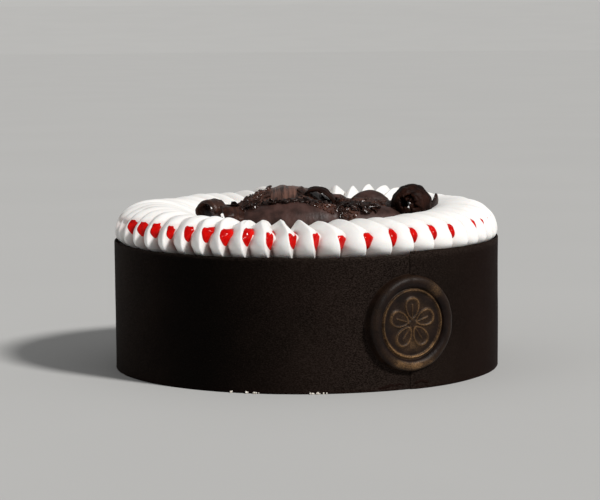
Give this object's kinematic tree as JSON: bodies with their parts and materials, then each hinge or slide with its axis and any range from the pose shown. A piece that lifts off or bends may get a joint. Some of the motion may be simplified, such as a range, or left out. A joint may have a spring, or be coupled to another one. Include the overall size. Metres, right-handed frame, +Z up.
{
  "type": "black forest cake",
  "caption": "Round black forest cake in a dark chocolate strip closed with a chocolate seal, topped with piped cream petals and chocolate shavings.",
  "frame": {"origin": "centre of the cake's flat underside, on the surface it stands on", "axes": "+Z up; -Y is the front, the side nearest the camera; the seal is 30 degrees from the front towards +X"},
  "size_m": [0.203, 0.2037, 0.0981],
  "materials": {
    "sponge": "matte open chocolate sponge",
    "chocolate_strip": "fine-grained matte dark chocolate",
    "chocolate_seal": "satin dark chocolate dusted with gold",
    "whipped_cream": "soft satin",
    "chocolate_shaving": "satin to glossy dark chocolate",
    "cherry_gel": "wet gloss"
  },
  "bodies": {
    "root": {"sponge_drum": "sponge", "chocolate_strip": "chocolate_strip", "chocolate_seal": "chocolate_seal", "whipped_cream": "whipped_cream", "flake_bed": "chocolate_shaving", "curl_front": "chocolate_shaving", "curl_mound": "chocolate_shaving", "curl_arc": "chocolate_shaving", "curl_left": "chocolate_shaving", "chunk_left": "chocolate_shaving", "roll_back": "chocolate_shaving", "curl_oval": "chocolate_shaving", "slab_right": "chocolate_shaving", "curl_right": "chocolate_shaving", "curl_rose": "chocolate_shaving", "shard_right": "chocolate_shaving", "curl_back": "chocolate_shaving", "slab_back": "chocolate_shaving", "roll_far": "chocolate_shaving", "curl_side": "chocolate_shaving"}
  },
  "joints": []
}
